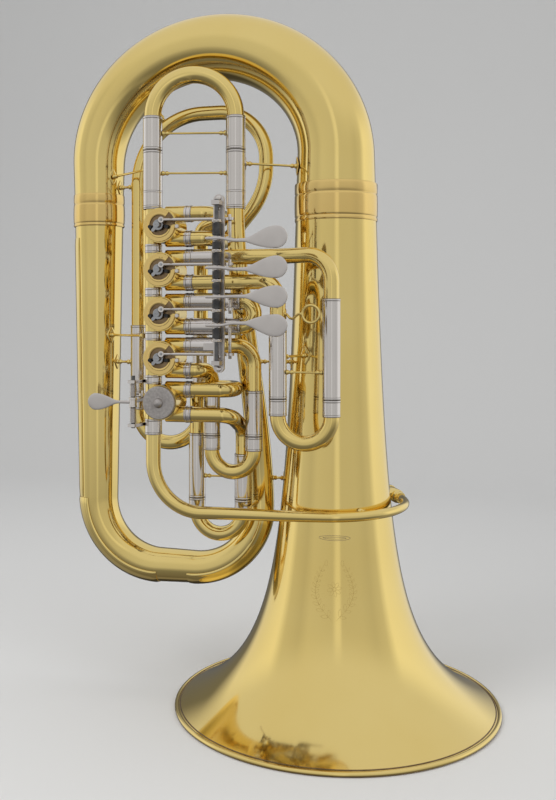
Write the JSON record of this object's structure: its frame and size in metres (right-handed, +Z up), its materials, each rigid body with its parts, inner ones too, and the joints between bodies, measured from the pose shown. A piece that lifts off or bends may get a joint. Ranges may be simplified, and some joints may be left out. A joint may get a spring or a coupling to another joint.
{
  "type": "tuba",
  "caption": "Rotary-valve F tuba standing on its bell, with coupled paddles, thumb lever, rotors, link rods and sliding tuning slides.",
  "frame": {"origin": "centre of the bell rim, on the floor plane the rim stands on", "axes": "+Z up along the bell axis towards the main bow, -Y towards the side with the valve faces and paddles, +Y towards the player, +X away from the outer branch"},
  "size_m": [0.5659, 0.412, 0.8918],
  "materials": {
    "lacquered_brass": "polished, clear lacquer",
    "gold_brass": "polished gold brass, clear lacquer",
    "nickel_silver": "satin nickel silver",
    "rotor_bronze": "ground bronze",
    "steel_wire": "drawn wire",
    "dark_steel": "oiled spring steel",
    "black_rubber": "matt"
  },
  "bodies": {
    "root": {"bell": "lacquered_brass", "bell_rim_wire": "steel_wire", "bow_ferrules": "gold_brass", "main_bow": "lacquered_brass", "outer_branch": "lacquered_brass", "lower_bow": "lacquered_brass", "inner_branch": "lacquered_brass", "bow_guards": "lacquered_brass", "leadpipe": "lacquered_brass", "mouthpiece_receiver": "lacquered_brass", "body_braces": "lacquered_brass", "slide_braces": "lacquered_brass", "valve_casings": "lacquered_brass", "front_bearing_plates": "lacquered_brass", "back_caps": "lacquered_brass", "valve5_cap": "nickel_silver", "stop_bumpers": "black_rubber", "connectors": "nickel_silver", "paddle_carrier": "nickel_silver", "lever_axles": "dark_steel", "axle_collars": "nickel_silver", "paddle_springs": "dark_steel", "thumb_bracket": "nickel_silver", "slide_sleeves": "nickel_silver", "valve1_tubes": "lacquered_brass", "valve3_tubes": "lacquered_brass", "valve4_tubes": "lacquered_brass", "valve5_tubes": "lacquered_brass"},
    "paddle_1_body": {"paddle_1": "nickel_silver"},
    "paddle_2_body": {"paddle_2": "nickel_silver"},
    "paddle_3_body": {"paddle_3": "nickel_silver"},
    "paddle_4_body": {"paddle_4": "nickel_silver"},
    "rotor_1_body": {"rotor_1": "rotor_bronze", "stop_arm_1": "nickel_silver"},
    "rotor_2_body": {"rotor_2": "rotor_bronze", "stop_arm_2": "nickel_silver"},
    "rotor_3_body": {"rotor_3": "rotor_bronze", "stop_arm_3": "nickel_silver"},
    "rotor_4_body": {"rotor_4": "rotor_bronze", "stop_arm_4": "nickel_silver"},
    "rotor_5_body": {"rotor_5": "rotor_bronze", "stop_arm_5": "nickel_silver"},
    "link_1_body": {"link_rod_1": "nickel_silver"},
    "link_2_body": {"link_rod_2": "nickel_silver"},
    "link_3_body": {"link_rod_3": "nickel_silver"},
    "link_4_body": {"link_rod_4": "nickel_silver"},
    "thumb_lever_body": {"thumb_lever": "nickel_silver"},
    "thumb_link_body": {"thumb_link": "nickel_silver"},
    "main_slide_body": {"main_slide_bow": "lacquered_brass", "main_slide_legs": "nickel_silver"},
    "slide_1_body": {"slide_1_bow": "lacquered_brass", "slide_1_legs": "nickel_silver"},
    "slide_2_body": {"slide_2_bow": "lacquered_brass", "slide_2_legs": "nickel_silver"},
    "slide_3_body": {"slide_3_bow": "lacquered_brass", "slide_3_legs": "nickel_silver"},
    "slide_4_body": {"slide_4_bow": "lacquered_brass", "slide_4_legs": "nickel_silver"},
    "slide_5_body": {"slide_5_bow": "lacquered_brass", "slide_5_legs": "nickel_silver"}
  },
  "joints": [
    {"name": "paddle_1_press", "type": "hinge", "parent": "root", "child": "paddle_1_body", "pos_m": [-0.119, -0.14, 0.4837], "axis": [0, 0, 1], "range_deg": [0, 16.5]},
    {"name": "rotor_1_turn", "type": "hinge", "parent": "root", "child": "rotor_1_body", "pos_m": [-0.203, -0.08, 0.4428], "axis": [0, -1, 0], "range_deg": [0, 90]},
    {"name": "link_1_pivot", "type": "hinge", "parent": "rotor_1_body", "child": "link_1_body", "pos_m": [-0.19734, -0.1109, 0.44846], "axis": [0, 1, 0], "range_deg": [0, 90]},
    {"name": "paddle_2_press", "type": "hinge", "parent": "root", "child": "paddle_2_body", "pos_m": [-0.119, -0.14, 0.5169], "axis": [0, 0, 1], "range_deg": [0, 16.5]},
    {"name": "rotor_2_turn", "type": "hinge", "parent": "root", "child": "rotor_2_body", "pos_m": [-0.203, -0.08, 0.4974], "axis": [0, -1, 0], "range_deg": [0, 90]},
    {"name": "link_2_pivot", "type": "hinge", "parent": "rotor_2_body", "child": "link_2_body", "pos_m": [-0.19734, -0.1109, 0.50306], "axis": [0, 1, 0], "range_deg": [0, 90]},
    {"name": "paddle_3_press", "type": "hinge", "parent": "root", "child": "paddle_3_body", "pos_m": [-0.119, -0.14, 0.551], "axis": [0, 0, 1], "range_deg": [0, 16.5]},
    {"name": "rotor_3_turn", "type": "hinge", "parent": "root", "child": "rotor_3_body", "pos_m": [-0.203, -0.08, 0.552], "axis": [0, -1, 0], "range_deg": [0, 90]},
    {"name": "link_3_pivot", "type": "hinge", "parent": "rotor_3_body", "child": "link_3_body", "pos_m": [-0.19734, -0.1109, 0.55766], "axis": [0, 1, 0], "range_deg": [0, 90]},
    {"name": "paddle_4_press", "type": "hinge", "parent": "root", "child": "paddle_4_body", "pos_m": [-0.119, -0.14, 0.5854], "axis": [0, 0, 1], "range_deg": [0, 16.5]},
    {"name": "rotor_4_turn", "type": "hinge", "parent": "root", "child": "rotor_4_body", "pos_m": [-0.203, -0.08, 0.6066], "axis": [0, -1, 0], "range_deg": [0, 90]},
    {"name": "link_4_pivot", "type": "hinge", "parent": "rotor_4_body", "child": "link_4_body", "pos_m": [-0.19734, -0.1109, 0.61226], "axis": [0, 1, 0], "range_deg": [0, 90]},
    {"name": "thumb_lever_press", "type": "hinge", "parent": "root", "child": "thumb_lever_body", "pos_m": [-0.238, -0.1, 0.388], "axis": [0, 0, -1], "range_deg": [0, 13]},
    {"name": "rotor_5_turn", "type": "hinge", "parent": "root", "child": "rotor_5_body", "pos_m": [-0.203, -0.08, 0.3882], "axis": [0, 1, 0], "range_deg": [0, 90]},
    {"name": "thumb_link_pivot", "type": "hinge", "parent": "rotor_5_body", "child": "thumb_link_body", "pos_m": [-0.20866, -0.05, 0.39386], "axis": [0, -1, 0], "range_deg": [0, 90]},
    {"name": "main_slide_pull", "type": "slide", "parent": "root", "child": "main_slide_body", "axis": [0, 0, 1], "range_m": [0, 0.05]},
    {"name": "slide_1_pull", "type": "slide", "parent": "root", "child": "slide_1_body", "axis": [0, 0, -1], "range_m": [0, 0.037]},
    {"name": "slide_2_pull", "type": "slide", "parent": "root", "child": "slide_2_body", "axis": [1, 0, 0], "range_m": [0, 0.02]},
    {"name": "slide_3_pull", "type": "slide", "parent": "root", "child": "slide_3_body", "axis": [0, 0, -1], "range_m": [0, 0.05]},
    {"name": "slide_4_pull", "type": "slide", "parent": "root", "child": "slide_4_body", "axis": [0, 0, -1], "range_m": [0, 0.045]},
    {"name": "slide_5_pull", "type": "slide", "parent": "root", "child": "slide_5_body", "axis": [0, 0, -1], "range_m": [0, 0.038]}
  ],
  "couplings": [
    {"joint": "rotor_1_turn", "follows": "paddle_1_press", "ratio": 5.4545},
    {"joint": "link_1_pivot", "follows": "paddle_1_press", "ratio": 5.4545},
    {"joint": "rotor_2_turn", "follows": "paddle_2_press", "ratio": 5.4545},
    {"joint": "link_2_pivot", "follows": "paddle_2_press", "ratio": 5.4545},
    {"joint": "rotor_3_turn", "follows": "paddle_3_press", "ratio": 5.4545},
    {"joint": "link_3_pivot", "follows": "paddle_3_press", "ratio": 5.4545},
    {"joint": "rotor_4_turn", "follows": "paddle_4_press", "ratio": 5.4545},
    {"joint": "link_4_pivot", "follows": "paddle_4_press", "ratio": 5.4545},
    {"joint": "rotor_5_turn", "follows": "thumb_lever_press", "ratio": 6.92},
    {"joint": "thumb_link_pivot", "follows": "thumb_lever_press", "ratio": 6.92}
  ]
}
